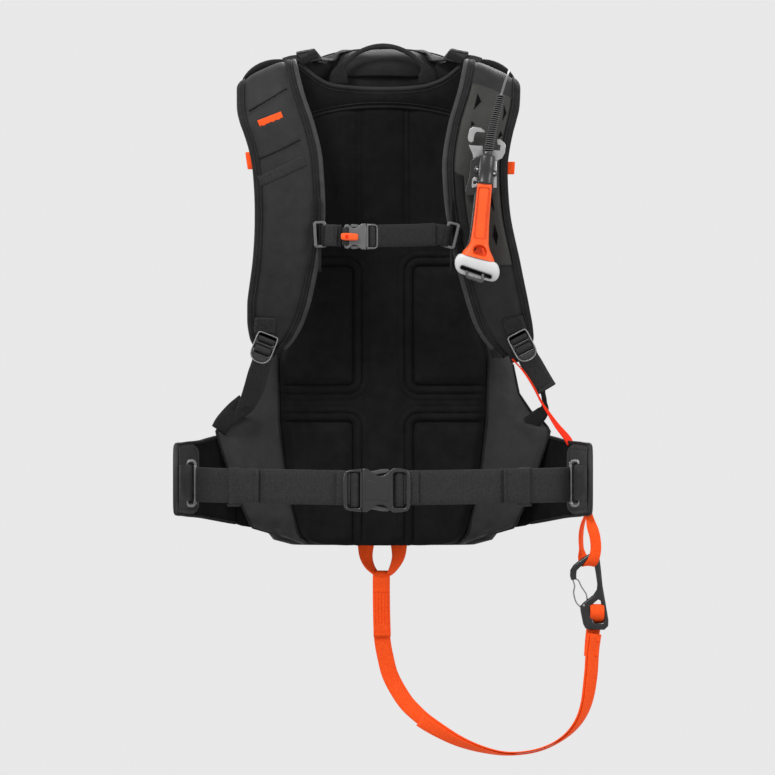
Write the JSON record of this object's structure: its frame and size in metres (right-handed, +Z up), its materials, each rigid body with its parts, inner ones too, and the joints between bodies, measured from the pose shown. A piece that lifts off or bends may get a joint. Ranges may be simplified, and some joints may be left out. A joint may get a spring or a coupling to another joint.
{
  "type": "avalanche airbag backpack",
  "caption": "Ski touring backpack with padded harness, hip belt, chest strap, pull trigger, folded airbag with electric fan unit, and a leg strap with carabiner.",
  "frame": {"origin": "middle of the back panel's spine face, where the wearer's back rests", "axes": "+X to the right when facing the harness, -Y out of the harness side towards the wearer, +Z up"},
  "size_m": [0.4827, 0.3509, 0.7959],
  "materials": {
    "bag_fabric": "matte woven nylon",
    "panel_fabric": "coated grey-green fabric",
    "back_foam": "moulded foam under matte knit",
    "stretch_fabric": "smooth stretch fabric",
    "webbing": "ribbed nylon webbing",
    "moulded_plastic": "satin moulded",
    "grey_plastic": "satin moulded",
    "orange_fabric": "nylon tape",
    "orange_plastic": "satin moulded",
    "white_plastic": "satin moulded",
    "bright_metal": "satin",
    "dark_metal": "anodised dark grey"
  },
  "bodies": {
    "bag": {"main_bag": "bag_fabric", "front_pocket": "bag_fabric", "lid_pocket": "bag_fabric", "yoke": "bag_fabric", "hip_fin_left": "bag_fabric", "hip_fin_right": "bag_fabric", "shoulder_strap_left": "bag_fabric", "shoulder_strap_right": "bag_fabric", "trigger_panel": "panel_fabric", "back_panel": "back_foam", "wing_left": "stretch_fabric", "wing_right": "stretch_fabric", "hip_webbing_left": "webbing", "hip_webbing_right": "webbing", "keeper_left": "webbing", "keeper_right": "webbing", "adjust_webbing_left": "webbing", "adjust_webbing_right": "webbing", "lifter_webbing_left": "webbing", "lifter_webbing_right": "webbing", "blower_housing": "moulded_plastic", "air_duct": "moulded_plastic", "control_box": "moulded_plastic", "frame_sheet": "moulded_plastic", "hip_buckle_socket": "moulded_plastic", "chest_rail_left": "moulded_plastic", "chest_rail_right": "moulded_plastic", "trigger_mount": "moulded_plastic", "trigger_cable": "moulded_plastic", "capacitor_bank": "grey_plastic", "airbag_folded": "orange_fabric", "leg_strap_yoke": "orange_fabric", "leg_strap": "orange_fabric", "hip_loop": "orange_fabric", "safety_strap": "orange_fabric", "frame_stay": "bright_metal", "bar_loop_left": "bright_metal", "bar_loop_right": "bright_metal", "trigger_bracket": "bright_metal", "fan_motor": "bright_metal", "carabiner": "dark_metal"},
    "trigger_handle": {"trigger_grip": "orange_plastic", "trigger_knob": "white_plastic"},
    "hip_plug": {"hip_buckle_plug": "moulded_plastic"},
    "chest_strap": {"chest_buckle_socket": "moulded_plastic", "whistle": "orange_plastic", "chest_slider_left": "grey_plastic", "chest_slider_right": "grey_plastic", "chest_webbing_left": "webbing", "chest_webbing_right": "webbing"},
    "chest_plug": {"chest_buckle_plug": "moulded_plastic"},
    "haul_handle": {"haul_loop": "webbing"},
    "lock_left": {"ladder_lock_left": "moulded_plastic"},
    "lock_right": {"ladder_lock_right": "moulded_plastic"},
    "lifter_left": {"lifter_buckle_left": "moulded_plastic"},
    "lifter_right": {"lifter_buckle_right": "moulded_plastic"},
    "gate": {"carabiner_gate": "bright_metal"},
    "zip": {"zip_slider": "dark_metal"},
    "fan": {"impeller": "grey_plastic"},
    "button": {"power_button": "orange_plastic"}
  },
  "joints": [
    {"name": "trigger_pull", "type": "slide", "parent": "bag", "child": "trigger_handle", "axis": [-0.0914, 0, -0.9958], "range_m": [0, 0.03], "stiffness_N_per_m": 300, "springref_m": -0.02},
    {"name": "hip_buckle_release", "type": "slide", "parent": "bag", "child": "hip_plug", "axis": [-1, 0, 0], "range_m": [0, 0.04], "deforming": ["hip_webbing_left"]},
    {"name": "chest_strap_height", "type": "slide", "parent": "bag", "child": "chest_strap", "axis": [0, 0, 1], "range_m": [-0.022, 0.022]},
    {"name": "chest_buckle_release", "type": "slide", "parent": "chest_strap", "child": "chest_plug", "axis": [1, 0, 0], "range_m": [0, 0.02], "deforming": ["chest_webbing_right"]},
    {"name": "haul_loop_fold", "type": "hinge", "parent": "bag", "child": "haul_handle", "pos_m": [0, 0.009, 0.276], "axis": [1, 0, 0], "range_deg": [-10, 65], "stiffness_Nm_per_rad": 0.03},
    {"name": "ladder_lock_tilt_left", "type": "hinge", "parent": "bag", "child": "lock_left", "pos_m": [-0.133, -0.0718, -0.009], "axis": [-1, 0, 0], "range_deg": [0, 35], "deforming": ["adjust_webbing_left"]},
    {"name": "ladder_lock_tilt_right", "type": "hinge", "parent": "bag", "child": "lock_right", "pos_m": [0.156, -0.0718, -0.009], "axis": [-1, 0, 0], "range_deg": [0, 35], "deforming": ["adjust_webbing_right"]},
    {"name": "lifter_buckle_tilt_left", "type": "hinge", "parent": "bag", "child": "lifter_left", "pos_m": [-0.084, 0.0146, 0.3118], "axis": [-1, 0, 0], "range_deg": [0, 35], "stiffness_Nm_per_rad": 0.02, "deforming": ["lifter_webbing_left"]},
    {"name": "lifter_buckle_tilt_right", "type": "hinge", "parent": "bag", "child": "lifter_right", "pos_m": [0.08, 0.0146, 0.3118], "axis": [-1, 0, 0], "range_deg": [0, 35], "stiffness_Nm_per_rad": 0.02, "deforming": ["lifter_webbing_right"]},
    {"name": "carabiner_gate_open", "type": "hinge", "parent": "bag", "child": "gate", "pos_m": [0.22, -0.09, -0.3096], "axis": [0, 1, 0], "range_deg": [0, 20], "stiffness_Nm_per_rad": 0.03, "springref_deg": -17.19},
    {"name": "zip_slide", "type": "slide", "parent": "bag", "child": "zip", "axis": [0, 0, -1], "range_m": [0, 0.2]},
    {"name": "impeller_spin", "type": "hinge", "parent": "bag", "child": "fan", "pos_m": [0.04, 0.095, 0.126], "axis": [0, 1, 0], "continuous": true},
    {"name": "power_button_press", "type": "slide", "parent": "bag", "child": "button", "axis": [0, -1, 0], "range_m": [0, 0.0015], "stiffness_N_per_m": 400, "springref_m": -0.002}
  ]
}
